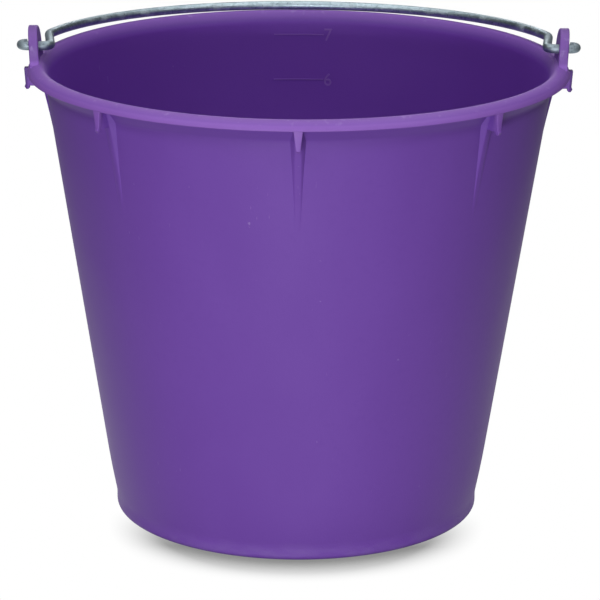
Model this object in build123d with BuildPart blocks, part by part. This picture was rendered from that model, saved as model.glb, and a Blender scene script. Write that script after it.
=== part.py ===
from build123d import *
import os
from math import asin, atan2, cos, degrees, radians, sin, sqrt

os.makedirs("parts", exist_ok=True)

# Seven-litre bucket: one moulded body and one swinging wire bail.
# Millimetres. The bucket stands on z = 0 about the Z axis, with its ears on the X axis.

# Body: wall, floor and foot ring
height = 224.0
foot_radius = 89.5
foot_height = 7.0
foot_width = 3.2
foot_chamfer = 1.2
heel_height = 16.0
heel_step = 0.66
wall = 2.2
floor = 2.6
floor_lift = 3.6
floor_cove = 3.0

# Body: rim, an oval bead that overhangs a conical collar
rim_radius = 131.0
rim_depth = 4.7
bead_width = 7.0
lip_root = 5.4
bevel_depth = 4.5
collar_step = 9.05
collar_depth = 10.8

# Body: ears, round-topped tabs that follow the curve of the rim and lean out a little
ear_thickness = 4.5
ear_setback = 0.8
ear_radius = 11.5
ear_rise = 16.2
ear_flare = 11.0
ear_lean = 0.9
ear_edge = 0.6

# Body: ribs that fade into the wall, and the hooked lug above each of them
lug_count = 8
rib_length = 59.0
rib_rise = 3.56
rib_top_width = 10.4
rib_tip_width = 3.0
rib_face_share = 0.1
lug_setback = 0.4
lug_root = 0.4
ear_lug_reach = 1.5
lug_thickness = 2.0
lug_lean = 0.5
lug_length = 10.3
lug_width = 4.4
lug_tip_width = 1.8
lug_knob = 2.6
web_thickness = 2.4
web_length = 8.6

# Bail: one bent wire, which cold bending leaves slightly oval
wire_diameter = 4.5
wire_ovality = 0.98
pivot_rise = 6.2
pivot_fit = 0.08
rest_gap = 0.1
crank_radius = 4.4
leg_run = 0.4
side_lean = 5.7
shoulder_radius = 14.0
hook_gap = 0.5
hook_turn = 135.0

# Wall lines: above a slightly flared heel the outside runs straight to the collar, and the inside follows it
crest_radius = rim_radius - bead_width
collar_radius = rim_radius - collar_step
collar_z = height - collar_depth
lip_z = height - rim_depth
bevel_z = height - bevel_depth
floor_z = floor_lift + floor
heel_z = foot_height + heel_height
slope = (collar_radius - foot_radius - heel_step) / (collar_z - foot_height)
wall_across = wall * sqrt(1 + slope**2)


def wall_radius(z):
    """Outside radius of the tapered wall at a height."""
    return foot_radius + heel_step + slope * (z - foot_height)


foot_inner = foot_radius - foot_width
floor_radius = wall_radius(floor_z) - wall_across
cove_radius = wall_radius(floor_z + floor_cove) - wall_across
bevel_radius = wall_radius(bevel_z) - wall_across

# Bead: three flats on a quarter oval, from the lip's edge up to the crest
bead = []
for turn in (0, 30, 60, 90):
    bead.append((crest_radius + bead_width * cos(radians(turn)), lip_z + rim_depth * sin(radians(turn))))

# Shell of the body, turned from its half section
with BuildPart() as shell:
    with BuildSketch(Plane.XZ):
        Polygon(
            (0, floor_lift),
            (foot_inner, floor_lift),
            (foot_inner, 0),
            (foot_radius - foot_chamfer, 0),
            (foot_radius, foot_chamfer),
            (foot_radius, foot_height),
            (wall_radius(heel_z), heel_z),
            (collar_radius, collar_z),
            (rim_radius - lip_root, lip_z),
            *bead,
            (bevel_radius, bevel_z),
            (cove_radius, floor_z + floor_cove),
            (floor_radius - floor_cove, floor_z),
            (0, floor_z),
            align=None,
        )
    revolve(axis=Axis.Z)

# Ears: a ring standing on the rim, trimmed to two flared round tabs and pierced on the pivot line
wire_radius = wire_diameter / 2
pivot_z = height + pivot_rise
ear_outer = rim_radius - ear_setback
ear_inner = ear_outer - ear_thickness
ear_top = height + ear_rise
ear_z = ear_top - ear_radius
flare_z = lip_z + ear_flare
flare_y = sqrt((ear_radius + ear_flare) ** 2 - (flare_z - ear_z) ** 2)
flare_angle = degrees(atan2(flare_z - ear_z, flare_y))

with BuildPart() as ears:
    with BuildSketch(Plane.XZ):
        Polygon(
            (ear_inner - ear_lean, lip_z),
            (ear_outer - ear_lean, lip_z),
            (ear_outer, ear_top),
            (ear_inner, ear_top),
            align=None,
        )
    revolve(axis=Axis.Z)
    with BuildSketch(Plane.YZ):
        with BuildLine():
            CenterArc((0, ear_z), ear_radius, 90, flare_angle - 90)
            CenterArc((flare_y, flare_z), ear_flare, 180 + flare_angle, 90 - flare_angle)
            Line((flare_y, lip_z), (0, lip_z))
            mirror(about=Plane.YZ)
        make_face()
    extrude(amount=2 * rim_radius, both=True, mode=Mode.INTERSECT)
    outline = ears.edges().filter_by(GeomType.LINE, reverse=True)
    chamfer(outline.filter_by_position(Axis.Z, lip_z + ear_flare / 4, ear_top), ear_edge)
    with BuildSketch(Plane.YZ):
        with Locations((0, pivot_z)):
            Circle(wire_radius + pivot_fit)
    extrude(amount=2 * rim_radius, both=True, mode=Mode.SUBTRACT)

# Rib: a bar drafted off the wall's slant, cut to a long bow that leaves the wall and rises to the lip
rib_tip_z = height - rib_length
rib_tip_radius = wall_radius(rib_tip_z)
rib_top_z = lip_z + lug_root
rib_run = rib_length * sqrt(1 + slope**2)
rib_bow_radius = rib_run**2 / (2 * rib_rise)
wall_normal = Vector(1, 0, -slope).normalized()

with BuildPart() as rib:
    for depth, share in ((-wall / 2, 1), (rib_rise, rib_face_share)):
        tip = Vector(rib_tip_radius, 0, rib_tip_z) + wall_normal * depth
        with BuildSketch(Plane(tip, x_dir=(0, 1, 0), z_dir=wall_normal)):
            Polygon(
                (-share * rib_tip_width / 2, 0),
                (share * rib_tip_width / 2, 0),
                (share * rib_top_width / 2, rib_run),
                (-share * rib_top_width / 2, rib_run),
                align=None,
            )
    loft(ruled=True)
    with BuildSketch(Plane.XZ):
        with BuildLine():
            bow = JernArc(
                (rib_tip_radius, rib_tip_z),
                (slope, 1),
                rib_bow_radius,
                -degrees(rib_run / rib_bow_radius),
            )
            Polyline(
                bow @ 1,
                (wall_radius(height) - wall / 2, height),
                (rib_tip_radius - wall / 2, rib_tip_z),
                bow @ 0,
            )
        make_face()
        with Locations((rib_tip_radius, rib_top_z)):
            Rectangle(rib_length, rib_length, align=(Align.CENTER, Align.MIN), mode=Mode.SUBTRACT)
    extrude(amount=rib_top_width, both=True, mode=Mode.INTERSECT)

# Lug: a tapering plate hung under the lip with a knobbed tip, and a web that ties it to the rib
lug_face = rim_radius - lug_setback
lug_back = lug_face - lug_thickness
lug_top = lip_z + lug_root
lug_tip_z = lip_z - lug_length
web_z = lip_z - web_length

with BuildPart() as lug:
    with BuildSketch(Plane.XZ):
        Polygon(
            (lug_face, lug_top),
            (lug_face - lug_lean, lug_tip_z + lug_knob),
            (lug_face, lug_tip_z + 0.5 * lug_knob),
            (lug_face - 0.3 * lug_knob, lug_tip_z),
            (lug_face - 0.7 * lug_knob, lug_tip_z),
            (lug_face - lug_knob, lug_tip_z + 0.3 * lug_knob),
            (lug_back - lug_lean, lug_tip_z + lug_knob),
            (lug_back, lug_top),
            align=None,
        )
    extrude(amount=lug_width, both=True)
    with BuildSketch(Plane.YZ):
        Polygon(
            (lug_width / 2, lug_top),
            (lug_tip_width / 2, lug_tip_z),
            (-lug_tip_width / 2, lug_tip_z),
            (-lug_width / 2, lug_top),
            align=None,
        )
    extrude(amount=2 * rim_radius, mode=Mode.INTERSECT)
    with BuildSketch(Plane.XZ):
        Polygon(
            (collar_radius - wall / 2, web_z),
            (lug_back - lug_lean / 2, web_z),
            (lug_back + lug_thickness / 2, lug_top),
            (collar_radius + wall, lug_top),
            align=None,
        )
    extrude(amount=web_thickness / 2, both=True)

# Body: shell, ears, and the ribs and lugs at equal steps round the rim; a lug under an ear stands further out
lug_step = 360 / lug_count

with BuildPart() as bucket_body:
    add(shell.part)
    add(ears.part)
    with PolarLocations(0, lug_count):
        add(rib.part)
    with PolarLocations(lug_setback + ear_lug_reach, 2):
        add(lug.part)
    for first in (lug_step, 180 + lug_step):
        with PolarLocations(0, lug_count // 2 - 1, first, 180 - 2 * lug_step, endpoint=True):
            add(lug.part)

bucket_body.part.label = "bucket_body"
export_step(bucket_body.part, "parts/bucket_body.step")

# Bail: at rest the half circle lies back over the bead, at mid width, just clear of it
bail_radius = crest_radius + bead_width / 2
bead_z = lip_z + rim_depth * sqrt(3) / 2
bead_lean = atan2(rim_depth, bead_width * sqrt(3))
rest_z = bead_z + (wire_radius + rest_gap) / cos(bead_lean)
rest_tilt = asin((pivot_z - rest_z) / bail_radius)
bail_plane = Plane((0, 0, pivot_z), x_dir=(1, 0, 0), z_dir=(0, sin(rest_tilt), cos(rest_tilt)))

# The sides lean in towards the ears, crank out through the holes and hook back outside
lean = radians(side_lean)
crank_x = ear_inner - ear_lean - leg_run
side_x = crank_x - crank_radius * cos(lean)
side_y = crank_radius * (1 + sin(lean))
start_x = side_x - shoulder_radius * cos(lean)
start_y = side_y + shoulder_radius * sin(lean)
along = start_x * sin(lean) + start_y * cos(lean)
across = start_x * cos(lean) - start_y * sin(lean)
side_run = sqrt((bail_radius - shoulder_radius) ** 2 - across**2) - along
shoulder_x = start_x + side_run * sin(lean)
shoulder_y = start_y + side_run * cos(lean)
shoulder_turn = degrees(atan2(shoulder_y, shoulder_x))
hook_radius = 0.75 * wire_diameter
hook_x = ear_outer + hook_gap

with BuildPart() as wire_bail:
    with BuildLine(bail_plane) as half:
        CenterArc((0, 0), bail_radius, 90, shoulder_turn - 90)
        shoulder = CenterArc(
            (shoulder_x, shoulder_y), shoulder_radius, shoulder_turn, -side_lean - shoulder_turn
        )
        Line(shoulder @ 1, (side_x, side_y))
        CenterArc((crank_x, crank_radius), crank_radius, 180 - side_lean, 90 + side_lean)
        Line((crank_x, 0), (hook_x, 0))
        CenterArc((hook_x, hook_radius), hook_radius, -90, hook_turn)
    with BuildSketch(Plane(half.line @ 0, z_dir=(1, 0, 0))):
        Ellipse(wire_radius, wire_radius * wire_ovality)
    sweep()
    mirror(about=Plane.YZ)

wire_bail.part.label = "wire_bail"
export_step(wire_bail.part, "parts/wire_bail.step")
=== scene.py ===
from math import atan2, cos, pi, radians, sin, sqrt

import bmesh
import bpy
from mathutils import Matrix, Vector


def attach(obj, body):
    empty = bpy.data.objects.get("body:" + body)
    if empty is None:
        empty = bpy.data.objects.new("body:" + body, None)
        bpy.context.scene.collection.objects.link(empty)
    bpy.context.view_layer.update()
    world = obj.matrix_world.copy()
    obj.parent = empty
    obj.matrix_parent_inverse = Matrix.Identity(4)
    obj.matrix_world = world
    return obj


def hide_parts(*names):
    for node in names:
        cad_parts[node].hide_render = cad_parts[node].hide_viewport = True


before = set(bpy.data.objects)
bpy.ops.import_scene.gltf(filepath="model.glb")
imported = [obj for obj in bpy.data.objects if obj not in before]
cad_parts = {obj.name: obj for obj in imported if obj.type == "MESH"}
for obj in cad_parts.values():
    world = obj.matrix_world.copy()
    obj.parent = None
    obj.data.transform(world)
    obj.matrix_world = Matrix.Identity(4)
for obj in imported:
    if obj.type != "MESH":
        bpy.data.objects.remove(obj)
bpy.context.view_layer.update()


# Bucket wall, floor, foot ring and rim: the turned part of one injection moulding in tough purple
# polyethylene. The wall tapers so that the moulding slides off its core, the rim is an oval bead on a
# flared collar, and the foot is a plain band that keeps the floor off the ground. Sizes are millimetres.
foot_inner = 86.3
foot_radius = 89.5
foot_height = 7.0
heel_z = 23.0
wall_root = 90.16
collar_radius = 121.95
collar_z = 213.2
lip_root = 125.6
lip_z = 219.3
rim_radius = 130.94
bead_side = (130.02, 221.65)
bead_brow = (127.5, 223.36)
crest_radius = 124.0
crest_z = 224.0
bevel_radius = 120.7
bevel_z = 219.5
inside_radius = 87.81
inside_z = 6.2
underside_z = 3.6

wall_taper = (collar_radius - wall_root) / (collar_z - foot_height)
wall_slant = sqrt(1 + wall_taper**2)


def wall_radius(z):
    """Outside radius of the tapered wall at a height."""
    return wall_root + wall_taper * (z - foot_height)


def rounded(piece, corners, reach, steps, affect="EDGES"):
    """Rounds corners or edges of a piece, reaching so far along both sides."""
    bmesh.ops.bevel(piece, geom=corners, offset=reach, offset_type="OFFSET", segments=steps, profile=0.5,
                    affect=affect, material=-1)


# Corners of the half section, from under the floor round to its top: radius, height, reach of rounding
half_section = (
    (0, underside_z, 0),
    (foot_inner, underside_z, 0.8),
    (foot_inner, 0, 0.5),
    (foot_radius, 0, 2.2),
    (foot_radius, foot_height, 1.6),
    (wall_radius(heel_z), heel_z, 8.0),
    (collar_radius, collar_z, 1.2),
    (lip_root, lip_z, 0.7),
    (rim_radius, lip_z, 0.5),
    (*bead_side, 1.2),
    (*bead_brow, 1.4),
    (crest_radius, crest_z, 1.6),
    (bevel_radius, bevel_z, 2.4),
    (inside_radius, inside_z, 3.0),
    (0, inside_z, 0),
)
held_strip = 0.6
shortest_straight = 2.4
weld = 0.001

moulding = bmesh.new()
corners = [moulding.verts.new((radius, 0, z)) for radius, z, rounding in half_section]
for corner, following in zip(corners, corners[1:]):
    moulding.edges.new((corner, following))
for corner, (radius, z, rounding) in zip(corners, half_section):
    if rounding:
        rounded(moulding, [corner], reach=rounding, steps=6, affect="VERTICES")

# A narrow strip at each end of a straight side keeps it flat beside its roundings
for straight in [edge for edge in moulding.edges if edge.calc_length() > shortest_straight]:
    for end in straight.verts[:]:
        side = max(end.link_edges, key=lambda edge: edge.calc_length())
        bmesh.utils.edge_split(side, end, held_strip / side.calc_length())
bmesh.ops.spin(moulding, geom=moulding.verts[:] + moulding.edges[:], cent=(0, 0, 0), axis=(0, 0, 1),
               angle=2 * pi, steps=360, use_merge=True)
bmesh.ops.remove_doubles(moulding, verts=moulding.verts[:], dist=weld)
bmesh.ops.recalc_face_normals(moulding, faces=moulding.faces[:])


# Ribs: eight moulded bars that stiffen the rim. Each leaves the wall on a long bow, so that its foot
# fades away to nothing, and widens upwards until it runs into the collar under the lip.
rib_count = 8
rib_foot_z = 165.0
rib_height = 54.5
rib_bow = 500.0
rib_foot_width = 2.8
rib_top_width = 9.3
rib_crown_width = 3.1
rib_crown_share = 0.85
rib_edge = 0.5
rib_root = 0.8
rib_sink = 0.02


def verts_of(made):
    """The vertices among what an operator has made."""
    return [part for part in made if isinstance(part, bmesh.types.BMVert)]


def repeat_round(detail, step, copies):
    """Repeats a detail round the bucket's axis, turned on by the same step for each copy."""
    bmesh.ops.spin(detail, geom=detail.verts[:] + detail.edges[:] + detail.faces[:], cent=(0, 0, 0),
                   axis=(0, 0, 1), angle=copies * step, steps=copies, use_duplicate=True)


def cast_into_moulding(detail, count=1):
    """Casts a moulded detail with the wall, so many times at equal steps round the bucket."""
    repeat_round(detail, step=2 * pi / count, copies=count - 1)
    cast = bpy.data.meshes.new("cast")
    detail.to_mesh(cast)
    moulding.from_mesh(cast)
    bpy.data.meshes.remove(cast)
    detail.free()


rib = bmesh.new()
rib_run = rib_height * wall_slant
rib_outline = ((-rib_foot_width / 2, 0), (rib_foot_width / 2, 0),
               (rib_top_width / 2, rib_run), (-rib_top_width / 2, rib_run))
rib.faces.new([rib.verts.new((-rib_root, across, along)) for across, along in rib_outline])
long_sides = [edge for edge in rib.edges if edge.verts[0].co.z != edge.verts[1].co.z]
bmesh.ops.subdivide_edges(rib, edges=long_sides, cuts=24, use_grid_fill=True)
crown = verts_of(bmesh.ops.extrude_face_region(rib, geom=rib.faces[:])["geom"])
for vert in crown:
    vert.co.x = vert.co.z**2 / (2 * rib_bow) - rib_sink
    vert.co.y *= min(rib_crown_share, rib_crown_width / abs(2 * vert.co.y))
bmesh.ops.recalc_face_normals(rib, faces=rib.faces[:])
crown_sides = [edge for edge in rib.edges if all(vert in crown for vert in edge.verts)
               and edge.verts[0].co.y * edge.verts[1].co.y > 0]
rounded(rib, crown_sides, reach=rib_edge, steps=3)
bmesh.ops.rotate(rib, cent=(0, 0, 0), matrix=Matrix.Rotation(atan2(wall_taper, 1), 3, "Y"),
                 verts=rib.verts[:])
bmesh.ops.translate(rib, vec=(wall_radius(rib_foot_z), 0, rib_foot_z), verts=rib.verts[:])
cast_into_moulding(rib, rib_count)


# Lugs: eight hooked tongues by which the bucket hangs in a ring. A tapering plate with a knobbed tip
# hangs under the lip, and a thin web ties it back to the rib. The two under the ears stand further out.
lug_top_z = 219.7
lug_tip_z = 209.0
lug_plate = ((130.6, lug_top_z), (130.1, 211.6), (130.6, 210.3), (129.8, lug_tip_z), (128.8, lug_tip_z),
             (128.0, 209.8), (128.1, 211.6), (128.6, lug_top_z))
lug_top_width = 4.4
lug_tip_width = 1.8
lug_edge = 0.3
lug_step = 2 * pi / rib_count
ear_lug_shift = 1.9
web_outline = ((120.9, 210.7), (128.3, 210.7), (129.6, lug_top_z), (124.2, lug_top_z))
web_thickness = 2.4
web_edge = 0.35
arris_turn = 1.2


def slab(outline, thickness):
    """A flat bar cut to an outline seen from the side, given as (radius, height) corners."""
    bar = bmesh.new()
    near_side = bar.faces.new([bar.verts.new((radius, -thickness / 2, z)) for radius, z in outline])
    far_side = verts_of(bmesh.ops.extrude_face_region(bar, geom=[near_side])["geom"])
    bmesh.ops.translate(bar, vec=(0, thickness, 0), verts=far_side)
    bmesh.ops.recalc_face_normals(bar, faces=bar.faces[:])
    return bar


def arrises_of(piece):
    """The edges at which a piece turns sharply."""
    return [edge for edge in piece.edges if edge.calc_face_angle() > arris_turn]


def hang_under_lip(detail):
    """Casts a lug's detail under both ears, set further out, and at three places between on each side."""
    under_ear = detail.copy()
    bmesh.ops.translate(under_ear, vec=(ear_lug_shift, 0, 0), verts=under_ear.verts[:])
    cast_into_moulding(under_ear, 2)
    bmesh.ops.rotate(detail, cent=(0, 0, 0), matrix=Matrix.Rotation(lug_step, 3, "Z"),
                     verts=detail.verts[:])
    repeat_round(detail, lug_step, copies=2)
    cast_into_moulding(detail, 2)


# The plate is cut 1 mm wide, and then spread to the taper of the lug
lug = slab(lug_plate, thickness=1.0)
for vert in lug.verts:
    share = (vert.co.z - lug_tip_z) / (lug_top_z - lug_tip_z)
    vert.co.y *= lug_tip_width + (lug_top_width - lug_tip_width) * share
rounded(lug, arrises_of(lug), reach=lug_edge, steps=3)
hang_under_lip(lug)

web = slab(web_outline, web_thickness)
rounded(web, web.edges[:], reach=web_edge, steps=3)
hang_under_lip(web)


# Ears: two round-topped tabs that stand on the rim and follow its curve. They lean out a little, flow into
# the bead in a wide flare and are pierced on the pivot line for the bail.
ear_outer = 130.2
ear_inner = 125.7
ear_radius = 11.47
ear_z = 228.7
ear_flare = 11.0
ear_lean = 0.9
ear_top_z = 240.2
ear_foot_z = 219.5
ear_heel = 0.1
ear_edge = 0.6
ear_edge_z = 223.5
pivot_z = 230.2
pivot_hole = 2.33

flare_z = ear_foot_z + ear_heel + ear_flare
flare_y = sqrt((ear_radius + ear_flare) ** 2 - (flare_z - ear_z) ** 2)
flare_turn = atan2(flare_z - ear_z, flare_y)
ear = bmesh.new()
shoulder = ear.verts.new((0, ear_radius * cos(flare_turn), ear_z + ear_radius * sin(flare_turn)))
arch = bmesh.ops.spin(ear, geom=[shoulder], cent=(0, 0, ear_z), axis=(1, 0, 0),
                      angle=pi - 2 * flare_turn, steps=60)
far_shoulder = verts_of(arch["geom_last"])[0]
feet = []
for top, way in ((shoulder, 1), (far_shoulder, -1)):
    flare = bmesh.ops.spin(ear, geom=[top], cent=(0, way * flare_y, flare_z), axis=(1, 0, 0),
                           angle=way * (pi / 2 - flare_turn), steps=10)
    heel = bmesh.ops.extrude_vert_indiv(ear, verts=verts_of(flare["geom_last"]))["verts"][0]
    heel.co.z = ear_foot_z
    feet.append(heel)
ear.edges.new(feet)
bmesh.ops.subdivide_edges(ear, edges=[ear.edges.get(feet)], cuts=24)
outline = ear.edges[:]
bmesh.ops.create_circle(ear, cap_ends=False, segments=len(outline), radius=pivot_hole,
                        matrix=Matrix.Translation((0, 0, pivot_z)) @ Matrix.Rotation(pi / 2, 4, "Y"))
bmesh.ops.bridge_loops(ear, edges=ear.edges[:])
spokes = [edge for edge in ear.edges if edge not in outline and len(edge.link_faces) == 2]
bmesh.ops.subdivide_edges(ear, edges=spokes, cuts=7, use_grid_fill=True)
inner_side = verts_of(bmesh.ops.extrude_face_region(ear, geom=ear.faces[:])["geom"])
bmesh.ops.translate(ear, vec=(ear_inner - ear_outer, 0, 0), verts=inner_side)
bmesh.ops.recalc_face_normals(ear, faces=ear.faces[:])

# The edge is rounded down to where the flares run out into the bead
bare_arrises = [edge for edge in arrises_of(ear) if min(vert.co.z for vert in edge.verts) > ear_edge_z]
rounded(ear, bare_arrises, reach=ear_edge, steps=4)
for vert in ear.verts:
    leaned = ear_outer - ear_lean * (ear_top_z - vert.co.z) / (ear_top_z - lip_z)
    vert.co.x = sqrt((leaned + vert.co.x) ** 2 - vert.co.y**2)
cast_into_moulding(ear, 2)


# Litre marks: fine raised lines with numerals, moulded on the inside of the back wall. Their heights
# follow from the taper, so that each line is true for the litres below it.
litre = 1e6
full_mark = 7
mark_relief = 0.25
mark_sink = 0.1
line_length = 25.8
line_height = 0.55
line_draft = 0.6
numeral_height = 6.3
numeral_gap = 0.4


def flat_line():
    """A mark's line, laid flat."""
    line = bmesh.new()
    bmesh.ops.create_grid(line, x_segments=24, y_segments=1, size=0.5)
    bmesh.ops.scale(line, vec=(line_length, line_height, 1), verts=line.verts[:])
    return line


def flat_numeral(litres):
    """A mark's numeral, laid flat beside its line."""
    lettering = bpy.data.curves.new("numeral", "FONT")
    lettering.body = str(litres)
    lettering_object = bpy.data.objects.new("numeral", lettering)
    numeral_mesh = bpy.data.meshes.new_from_object(lettering_object)
    bpy.data.objects.remove(lettering_object)
    bpy.data.curves.remove(lettering)
    numeral = bmesh.new()
    numeral.from_mesh(numeral_mesh)
    bpy.data.meshes.remove(numeral_mesh)
    low = Vector((min(vert.co.x for vert in numeral.verts), min(vert.co.y for vert in numeral.verts), 0))
    size = numeral_height / (max(vert.co.y for vert in numeral.verts) - low.y)
    bmesh.ops.translate(numeral, vec=-low, verts=numeral.verts[:])
    bmesh.ops.scale(numeral, vec=(size, size, 1), verts=numeral.verts[:])
    bmesh.ops.translate(numeral, vec=(line_length / 2 + numeral_gap, -numeral_height / 2, 0),
                        verts=numeral.verts[:])
    return numeral


def raise_on_back_wall(mark, height, draft=1.0):
    """Raises a flat mark on the inside of the back wall at a height, with its root sunk in the wall."""
    face = verts_of(bmesh.ops.extrude_face_region(mark, geom=mark.faces[:])["geom"])
    for vert in mark.verts:
        vert.co.z = -mark_sink
    for vert in face:
        vert.co.z = mark_relief
        vert.co.y *= draft
    for vert in mark.verts:
        z = height + vert.co.y / wall_slant
        radius = inside_radius + wall_taper * (z - inside_z)
        turn = vert.co.x / radius
        depth = radius - vert.co.z
        vert.co = (depth * sin(turn), depth * cos(turn), z)
    bmesh.ops.recalc_face_normals(mark, faces=mark.faces[:])
    cast_into_moulding(mark)


for litres in range(1, full_mark + 1):
    mark_radius = (inside_radius**3 + 3 * wall_taper * litres * litre / pi) ** (1 / 3)
    mark_z = inside_z + (mark_radius - inside_radius) / wall_taper
    raise_on_back_wall(flat_line(), mark_z, line_draft)
    raise_on_back_wall(flat_numeral(litres), mark_z)


# Purple polyethylene: the finish of the whole moulding, satin from the mould, with faint flow clouding and
# a fine mould grain. The bead, the lug plates and the litre marks are painted paler, a painted highlight;
# the collar under the lip, the inside and the lugs under the ears are painted darker, painted shade.
# Stacking, dragging and hanging leave small pale bruises on the rim and the foot.
deep_purple = (0.130, 0.047, 0.315, 1)
clear_purple = (0.146, 0.057, 0.343, 1)
# Painted highlight: a paler lilac laid on the bead, the lug plates and the litre marks
highlight_lilac = (0.205, 0.088, 0.398, 1)
ear_purple = (0.152, 0.066, 0.295, 1)
# Painted shade: a darker purple laid on the collar under the lip
collar_shade_purple = (0.129, 0.048, 0.314, 1)
# Painted shade: a darker purple laid on the lugs under the ears, which face away from the lamps
ear_lug_shade_purple = (0.085, 0.031, 0.205, 1)
# Painted shade: a darker, deeper purple laid on the inside of the wall
inside_shade_purple = (0.139, 0.039, 0.356, 1)
bruised_lilac = (0.36, 0.26, 0.55, 1)
ground_in_dust = (0.24, 0.17, 0.40, 1)

# Where a tone sets in and where it is full, in metres up from the ground
rim_wear_rise = (0.2212, 0.2237)
foot_wear_rise = (0.010, 0.0)
bead_rise = (0.2195, 0.2235)
lug_rise = (0.209, 0.219)
mark_rise = (0.012, 0.014)
collar_rise = (0.2129, 0.2133)
inside_rise = (0.2200, 0.2180)
ear_rise = (0.2243, 0.2258)

# The same in metres out from the axis, less what the wall's taper adds, and out along the pivot line
lug_stand = (0.0938, 0.0958)
mark_stand = (0.08675, 0.08662)
collar_stand = (0.0890, 0.0893)
inside_stand = (0.0885, 0.0875)
ear_lug_reach = (0.1307, 0.1312)

purple = bpy.data.materials.new("purple_plastic")
purple.use_nodes = True
plastic = purple.node_tree.nodes["Principled BSDF"]
plastic.inputs["IOR"].default_value = 1.46
plastic.inputs["Specular IOR Level"].default_value = 0.34


def place_along(finish, axis):
    """Where each point of a finish lies along an axis, in metres."""
    tree = finish.node_tree
    place = tree.nodes.new("ShaderNodeTexCoord")
    split = tree.nodes.new("ShaderNodeSeparateXYZ")
    tree.links.new(place.outputs["Object"], split.inputs["Vector"])
    return split.outputs[axis]


def stand_off(finish, taper=0.0, shift=(0, 0, 0)):
    """How far out from the axis each point lies once shifted, in metres, less what a taper adds."""
    tree = finish.node_tree
    place = tree.nodes.new("ShaderNodeTexCoord")
    level = tree.nodes.new("ShaderNodeMapping")
    level.inputs["Location"].default_value = shift
    level.inputs["Scale"].default_value = (1, 1, 0)
    reach = tree.nodes.new("ShaderNodeVectorMath")
    reach.operation = "LENGTH"
    less = tree.nodes.new("ShaderNodeMath")
    less.operation = "MULTIPLY_ADD"
    less.inputs[1].default_value = -taper
    tree.links.new(place.outputs["Object"], level.inputs["Vector"])
    tree.links.new(level.outputs["Vector"], reach.inputs[0])
    tree.links.new(place_along(finish, "Z"), less.inputs[0])
    tree.links.new(reach.outputs["Value"], less.inputs[2])
    return less.outputs["Value"]


def spread(finish, pattern, low, high, bottom=0.0, top=1.0):
    """Spreads a pattern's part from low to high over the range from bottom to top, held at both ends."""
    tree = finish.node_tree
    span = tree.nodes.new("ShaderNodeMapRange")
    span.inputs["From Min"].default_value = low
    span.inputs["From Max"].default_value = high
    span.inputs["To Min"].default_value = bottom
    span.inputs["To Max"].default_value = top
    tree.links.new(pattern, span.inputs["Value"])
    return span.outputs["Result"]


def weakened(finish, pattern, strength):
    """A pattern brought down to a part of its strength."""
    return spread(finish, pattern, 0, 1, 0, strength)


def turned_over(finish, pattern):
    """What a pattern leaves free."""
    return spread(finish, pattern, 0, 1, 1, 0)


def grain(finish, size, detail, stretch=(1, 1, 1), turn=(0, 0, 0)):
    """Soft random grain in a finish, with features of a size in metres, drawn out along an axis."""
    tree = finish.node_tree
    place = tree.nodes.new("ShaderNodeTexCoord")
    lay = tree.nodes.new("ShaderNodeMapping")
    lay.inputs["Rotation"].default_value = turn
    lay.inputs["Scale"].default_value = stretch
    noise = tree.nodes.new("ShaderNodeTexNoise")
    noise.inputs["Scale"].default_value = 1 / size
    noise.inputs["Detail"].default_value = detail
    tree.links.new(place.outputs["Object"], lay.inputs["Vector"])
    tree.links.new(lay.outputs["Vector"], noise.inputs["Vector"])
    return noise.outputs["Fac"]


def patches(finish, size, detail, low, high, stretch=(1, 1, 1), turn=(0, 0, 0)):
    """The peaks of a grain, which set in at low and are full at high."""
    return spread(finish, grain(finish, size, detail, stretch, turn), low, high)


def both(finish, one, other):
    """Where both of two patterns are."""
    tree = finish.node_tree
    shared = tree.nodes.new("ShaderNodeMath")
    shared.operation = "MULTIPLY"
    tree.links.new(one, shared.inputs[0])
    tree.links.new(other, shared.inputs[1])
    return shared.outputs["Value"]


def either(finish, *patterns):
    """The strongest of several patterns."""
    tree = finish.node_tree
    strongest = patterns[0]
    for pattern in patterns[1:]:
        stronger = tree.nodes.new("ShaderNodeMath")
        stronger.operation = "MAXIMUM"
        tree.links.new(strongest, stronger.inputs[0])
        tree.links.new(pattern, stronger.inputs[1])
        strongest = stronger.outputs["Value"]
    return strongest


def out_at_sides(finish, near, far):
    """What lies out at the left and the right, along the pivot line: none at near, in full at far."""
    across = place_along(finish, "X")
    return either(finish, spread(finish, across, near, far), spread(finish, across, -near, -far))


def tinted(finish, ground, tint, share):
    """Lays a colour over the ground colour of a finish, as strongly as a pattern says."""
    tree = finish.node_tree
    layer = tree.nodes.new("ShaderNodeMix")
    layer.data_type = "RGBA"
    strength, under, over, result = layer.inputs[0], layer.inputs[6], layer.inputs[7], layer.outputs[2]
    tree.links.new(share, strength)
    if isinstance(ground, tuple):
        under.default_value = ground
    else:
        tree.links.new(ground, under)
    over.default_value = tint
    return result


def embossed(finish, pattern, depth, under=None):
    """Lets a pattern stand off the surface by a depth in metres, on top of any relief under it."""
    tree = finish.node_tree
    relief = tree.nodes.new("ShaderNodeBump")
    relief.inputs["Distance"].default_value = depth
    tree.links.new(pattern, relief.inputs["Height"])
    if under:
        tree.links.new(under, relief.inputs["Normal"])
    return relief.outputs["Normal"]


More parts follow.
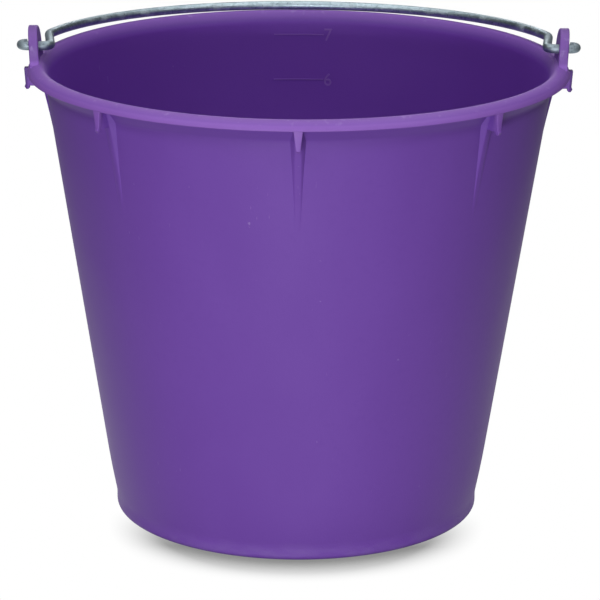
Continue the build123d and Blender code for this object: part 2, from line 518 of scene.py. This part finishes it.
flow = grain(purple, size=0.07, detail=3, stretch=(1, 1, 0.45))
clouding = spread(purple, flow, 0.32, 0.68)
flecks = patches(purple, size=0.0035, detail=3, low=0.5, high=0.72)
scratches = both(purple,
                 patches(purple, size=0.0009, detail=1, low=0.72, high=0.80, stretch=(1, 1, 0.06),
                         turn=(0.5, 0.25, 0)),
                 patches(purple, size=0.045, detail=2, low=0.64, high=0.74))
nicks = both(purple,
             patches(purple, size=0.0040, detail=2, low=0.75, high=0.79),
             patches(purple, size=0.09, detail=1, low=0.55, high=0.62))
height = place_along(purple, "Z")
rim_wear = both(purple, spread(purple, height, *rim_wear_rise),
                patches(purple, size=0.0035, detail=4, low=0.60, high=0.74))
foot_wear = both(purple, spread(purple, height, *foot_wear_rise),
                 patches(purple, size=0.014, detail=5, low=0.42, high=0.66, stretch=(1, 1, 2.5)))
bruises = either(purple, scratches, nicks, rim_wear)

wall_stand = stand_off(purple, wall_taper)
# Masks of the painted highlight on the bead, the lug plates (fading downwards) and the litre marks
bead_highlight = spread(purple, height, *bead_rise)
lug_highlight = both(purple, spread(purple, wall_stand, *lug_stand),
                 spread(purple, height, *lug_rise, bottom=0.35))
mark_highlight = both(purple, spread(purple, wall_stand, *mark_stand), spread(purple, height, *mark_rise))
painted_highlight = either(purple, bead_highlight, lug_highlight, mark_highlight)
# Mask of the painted shade on the collar under the lip
under_lip_shade = both(purple, spread(purple, wall_stand, *collar_stand), spread(purple, height, *collar_rise))
# Mask of the painted shade on the inside of the wall
inside_shade = both(purple, spread(purple, wall_stand, *inside_stand), spread(purple, height, *inside_rise))
ears = spread(purple, height, *ear_rise)
# Mask of the painted shade on the lugs under the ears
ear_lug_shade = out_at_sides(purple, *ear_lug_reach)

colour = tinted(purple, deep_purple, clear_purple, clouding)
colour = tinted(purple, colour, deep_purple, weakened(purple, flecks, 0.35))
colour = tinted(purple, colour, collar_shade_purple, under_lip_shade)
colour = tinted(purple, colour, inside_shade_purple, inside_shade)
colour = tinted(purple, colour, highlight_lilac, painted_highlight)
colour = tinted(purple, colour, ear_purple, ears)
colour = tinted(purple, colour, ear_lug_shade_purple, ear_lug_shade)
colour = tinted(purple, colour, ground_in_dust, weakened(purple, foot_wear, 0.25))
colour = tinted(purple, colour, bruised_lilac, weakened(purple, bruises, 0.4))
purple.node_tree.links.new(colour, plastic.inputs["Base Color"])
satin = either(purple, spread(purple, flow, 0.3, 0.7, bottom=0.50, top=0.58),
               spread(purple, bruises, 0, 1, bottom=0.4, top=0.70))
purple.node_tree.links.new(satin, plastic.inputs["Roughness"])
relief = embossed(purple, grain(purple, size=0.05, detail=1), depth=0.0012)
relief = embossed(purple, grain(purple, size=0.0007, detail=2), depth=0.00005, under=relief)
relief = embossed(purple, turned_over(purple, scratches), depth=0.00008, under=relief)
purple.node_tree.links.new(relief, plastic.inputs["Normal"])

millimetre = 0.001


def finished_piece(name, shape, crease, finish):
    """Makes an object in metres of a shape in millimetres, smooth up to an angle, in its finish."""
    bmesh.ops.scale(shape, vec=(millimetre, millimetre, millimetre), verts=shape.verts[:])
    mesh = bpy.data.meshes.new(name)
    shape.to_mesh(mesh)
    shape.free()
    mesh.shade_smooth()
    mesh.set_sharp_from_angle(angle=crease)
    mesh.materials.append(finish)
    piece = bpy.data.objects.new(name, mesh)
    bpy.context.scene.collection.objects.link(piece)
    return piece


bucket = finished_piece("bucket_moulding", moulding, crease=radians(38), finish=purple)
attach(bucket, "bucket")
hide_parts("bucket_body")


# Bail: one length of galvanised steel wire, cold bent to a half circle. Each side leans in towards its ear,
# cranks out through the hole and is curled back outside, and the cut ends are left plain.
wire_radius = 2.24
wire_ovality = 0.98
bail_radius = 127.5
rest_tilt = radians(2.05)
side_lean = radians(5.7)
shoulder_radius = 14.0
crank_radius = 4.4
crank_gap = 0.4
hook_gap = 0.5
hook_radius = 3.375
hook_turn = radians(168)
cut_edge = 0.3

# Each leaning side is as long as it takes for the shoulder's bend to run on into the half circle
crank_x = ear_inner - ear_lean - crank_gap
hook_x = ear_outer + hook_gap
start_x = crank_x - (crank_radius + shoulder_radius) * cos(side_lean)
start_y = crank_radius + (crank_radius + shoulder_radius) * sin(side_lean)
along = start_x * sin(side_lean) + start_y * cos(side_lean)
across = start_x * cos(side_lean) - start_y * sin(side_lean)
side_run = sqrt((bail_radius - shoulder_radius) ** 2 - across**2) - along
shoulder_x = start_x + side_run * sin(side_lean)
shoulder_y = start_y + side_run * cos(side_lean)
shoulder_turn = atan2(shoulder_y, shoulder_x)

wire = bmesh.new()
middle = Matrix.Translation((0, bail_radius, 0))
bmesh.ops.create_circle(wire, cap_ends=False, segments=24, radius=wire_radius,
                        matrix=middle @ Matrix.Rotation(pi / 2, 4, "Y"))
bmesh.ops.scale(wire, vec=(1, wire_ovality, 1), space=middle.inverted(), verts=wire.verts[:])


def edges_of(made):
    """The edges among what an operator has made."""
    return [part for part in made if isinstance(part, bmesh.types.BMEdge)]


def bend(end, centre, turn, steps):
    """Bends the wire on from its end, round a former at a centre."""
    made = bmesh.ops.spin(wire, geom=end, cent=(*centre, 0), axis=(0, 0, 1), angle=turn, steps=steps)
    return edges_of(made["geom_last"])


def run(end, way):
    """Carries the wire straight on from its end."""
    made = bmesh.ops.extrude_edge_only(wire, edges=end)["geom"]
    bmesh.ops.translate(wire, vec=way, verts=verts_of(made))
    return edges_of(made)


wire_end = bend(wire.edges[:], (0, 0), shoulder_turn - pi / 2, steps=56)
wire_end = bend(wire_end, (shoulder_x, shoulder_y), -shoulder_turn - side_lean, steps=10)
wire_end = run(wire_end, (-side_run * sin(side_lean), -side_run * cos(side_lean), 0))
wire_end = bend(wire_end, (crank_x, crank_radius), pi / 2 + side_lean, steps=12)
wire_end = run(wire_end, (hook_x - crank_x, 0, 0))
wire_end = bend(wire_end, (hook_x, hook_radius), hook_turn, steps=20)
cut = bmesh.ops.edgeloop_fill(wire, edges=wire_end)["faces"][0]
rounded(wire, cut.edges[:], reach=cut_edge, steps=3)
bmesh.ops.mirror(wire, geom=wire.verts[:] + wire.edges[:] + wire.faces[:], matrix=Matrix.Identity(4),
                 merge_dist=weld, axis="X")
bmesh.ops.recalc_face_normals(wire, faces=wire.faces[:])
bmesh.ops.rotate(wire, cent=(0, 0, 0), matrix=Matrix.Rotation(-rest_tilt, 3, "X"), verts=wire.verts[:])
bmesh.ops.translate(wire, vec=(0, 0, pivot_z), verts=wire.verts[:])

dull_zinc = (0.32, 0.41, 0.46, 1)
bright_zinc = (0.47, 0.57, 0.62, 1)
white_bloom = (0.57, 0.64, 0.67, 1)
dark_pits = (0.10, 0.12, 0.15, 1)
rubbed_zinc = (0.30, 0.36, 0.40, 1)
rubbed_reach = (0.1190, 0.1225)

galvanised = bpy.data.materials.new("galvanised_wire")
galvanised.use_nodes = True
zinc = galvanised.node_tree.nodes["Principled BSDF"]
zinc.inputs["Metallic"].default_value = 1.0


def spangle(finish, size):
    """The crystals of a zinc coat, each as bright as chance has it."""
    tree = finish.node_tree
    place = tree.nodes.new("ShaderNodeTexCoord")
    cells = tree.nodes.new("ShaderNodeTexVoronoi")
    cells.inputs["Scale"].default_value = 1 / size
    split = tree.nodes.new("ShaderNodeSeparateColor")
    tree.links.new(place.outputs["Object"], cells.inputs["Vector"])
    tree.links.new(cells.outputs["Color"], split.inputs["Color"])
    return split.outputs["Red"]


crystals = spangle(galvanised, size=0.0016)
bloom = patches(galvanised, size=0.008, detail=5, low=0.56, high=0.70)
pits = patches(galvanised, size=0.0011, detail=3, low=0.62, high=0.70)
rubbed = out_at_sides(galvanised, *rubbed_reach)

colour = tinted(galvanised, dull_zinc, bright_zinc, crystals)
colour = tinted(galvanised, colour, white_bloom, weakened(galvanised, bloom, 0.6))
colour = tinted(galvanised, colour, rubbed_zinc, weakened(galvanised, rubbed, 0.85))
colour = tinted(galvanised, colour, dark_pits, weakened(galvanised, pits, 0.7))
galvanised.node_tree.links.new(colour, zinc.inputs["Base Color"])
sheen = either(galvanised, spread(galvanised, crystals, 0, 1, bottom=0.32, top=0.44),
               spread(galvanised, bloom, 0, 1, bottom=0.4, top=0.70),
               spread(galvanised, rubbed, 0, 1, bottom=0.3, top=0.62))
galvanised.node_tree.links.new(sheen, zinc.inputs["Roughness"])
relief = embossed(galvanised, grain(galvanised, size=0.004, detail=3), depth=0.00010)
relief = embossed(galvanised, turned_over(galvanised, pits), depth=0.00008, under=relief)
galvanised.node_tree.links.new(relief, zinc.inputs["Normal"])

bail = finished_piece("wire_bail_bent", wire, crease=radians(40), finish=galvanised)
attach(bail, "bail")
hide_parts("wire_bail")


# Floor: a plain sheet of white paper under the bucket. To the eye it is white all over, down to a painted
# soft shadow before and behind the foot ring. Its glow in reflections and the pale colour that throws a
# little white light back up at the wall are painted along a middle strip, which the bucket mirrors.
sheet_reach = 6.0
shadow_reach = 0.030
shadow_onset = (0.98, 0.5)
shadow_strength = 0.73
shadow_shift = 0.036
shadow_span = (0.092, 0.070)
shadow_before = (-0.02, -0.07)
shadow_behind = (0.03, 0.07)
strip_edge = (0.26, 0.48)
strip_surround = 0.15
paper_bounce = 0.12

sheet = bmesh.new()
bmesh.ops.create_grid(sheet, x_segments=1, y_segments=1, size=sheet_reach)
floor_mesh = bpy.data.meshes.new("studio_floor")
sheet.to_mesh(floor_mesh)
sheet.free()

paper = bpy.data.materials.new("white_paper")
paper.use_nodes = True
nodes = paper.node_tree.nodes
links = paper.node_tree.links
nodes.remove(nodes["Principled BSDF"])
matt = nodes.new("ShaderNodeBsdfDiffuse")
glow = nodes.new("ShaderNodeEmission")
ray = nodes.new("ShaderNodeLightPath")
near_foot = nodes.new("ShaderNodeAmbientOcclusion")
near_foot.samples = 16
near_foot.inputs["Distance"].default_value = shadow_reach


def shaded(way, edge):
    """Where the painted shadow may fall on one side of the foot ring, before it (-1) or behind it (1)."""
    return both(paper, spread(paper, place_along(paper, "Y"), *edge),
                spread(paper, stand_off(paper, shift=(0, -way * shadow_shift, 0)), *shadow_span))


thrown = either(paper, shaded(-1, shadow_before), shaded(1, shadow_behind))
shadow = both(paper, spread(paper, near_foot.outputs["AO"], *shadow_onset, top=shadow_strength), thrown)
strip = spread(paper, out_at_sides(paper, *strip_edge), 0, 1, bottom=1, top=strip_surround)
links.new(weakened(paper, strip, paper_bounce), matt.inputs["Color"])
white = either(paper, ray.outputs["Is Camera Ray"], strip)
links.new(both(paper, white, turned_over(paper, shadow)), glow.inputs["Strength"])
seen = either(paper, ray.outputs["Is Camera Ray"], ray.outputs["Is Glossy Ray"],
              ray.outputs["Is Transmission Ray"])
choice = nodes.new("ShaderNodeMixShader")
links.new(seen, choice.inputs[0])
links.new(matt.outputs["BSDF"], choice.inputs[1])
links.new(glow.outputs["Emission"], choice.inputs[2])
links.new(choice.outputs["Shader"], nodes["Material Output"].inputs["Surface"])
floor_mesh.materials.append(paper)
floor = bpy.data.objects.new("studio_floor", floor_mesh)
bpy.context.scene.collection.objects.link(floor)


# Light: an even, dim surround, a soft box low in front and one overhead. Two at the front corners draw the
# glint along the wire, a strip behind picks out its top, and two low ones behind, kept out of reflections,
# light the back of the wall without a grey sheen on the rim.
world = bpy.data.worlds.new("studio")
bpy.context.scene.world = world
world.use_nodes = True
surround = world.node_tree.nodes["Background"]
surround.inputs["Color"].default_value = (1, 1, 1, 1)
surround.inputs["Strength"].default_value = 0.045


def soft_box(name, place, aim, width, height, power, mirrored=True):
    """A rectangular soft light at a place, facing a point, which can be left out of all reflections."""
    lamp = bpy.data.lights.new(name, "AREA")
    lamp.shape = "RECTANGLE"
    lamp.size = width
    lamp.size_y = height
    lamp.energy = power
    box = bpy.data.objects.new(name, lamp)
    box.visible_glossy = mirrored
    box.location = place
    box.rotation_euler = (Vector(aim) - Vector(place)).to_track_quat("-Z", "Y").to_euler()
    bpy.context.scene.collection.objects.link(box)


soft_box("front_box", place=(-0.25, -2.2, 0.20), aim=(0, 0, 0.12), width=1.0, height=0.28, power=36)
soft_box("top_box", place=(0, 0.25, 2.0), aim=(0, 0, 0.1), width=2.2, height=2.0, power=24)
for name, way in (("left_box", -1), ("right_box", 1)):
    soft_box(name, place=(way * 1.08, -1.05, 1.56), aim=(0, 0.05, 0.2), width=1.7, height=0.30, power=10)
for name, way in (("back_left_box", -1), ("back_right_box", 1)):
    soft_box(name, place=(way * 0.90, 1.87, 0.62), aim=(0, 0, 0.12), width=1.4, height=0.6, power=9,
             mirrored=False)
soft_box("back_strip", place=(0, 2.0, 0.95), aim=(0, 0, 0.2), width=1.0, height=0.25, power=4)


# Camera: a long lens well away from the bucket, looking down over the rim as in the picture. The shift puts
# the bucket in its place in the frame, and the slight roll follows its rim.
look_down = radians(16.4535)
roll = 0.006

lens = bpy.data.cameras.new("picture_camera")
lens.sensor_width = 36.0
lens.lens = 196.14
lens.shift_x = 0.0047
lens.shift_y = 0.013
lens.clip_start = 0.05
lens.clip_end = 50.0
camera = bpy.data.objects.new("picture_camera", lens)
camera.location = (0, -1.5473, 0.5562)
tilt = Matrix.Rotation(pi / 2 - look_down, 3, "X")
camera.rotation_euler = (tilt @ Matrix.Rotation(roll, 3, "Z")).to_euler()
bpy.context.scene.collection.objects.link(camera)
bpy.context.scene.camera = camera
bpy.context.scene.view_settings.view_transform = "Standard"
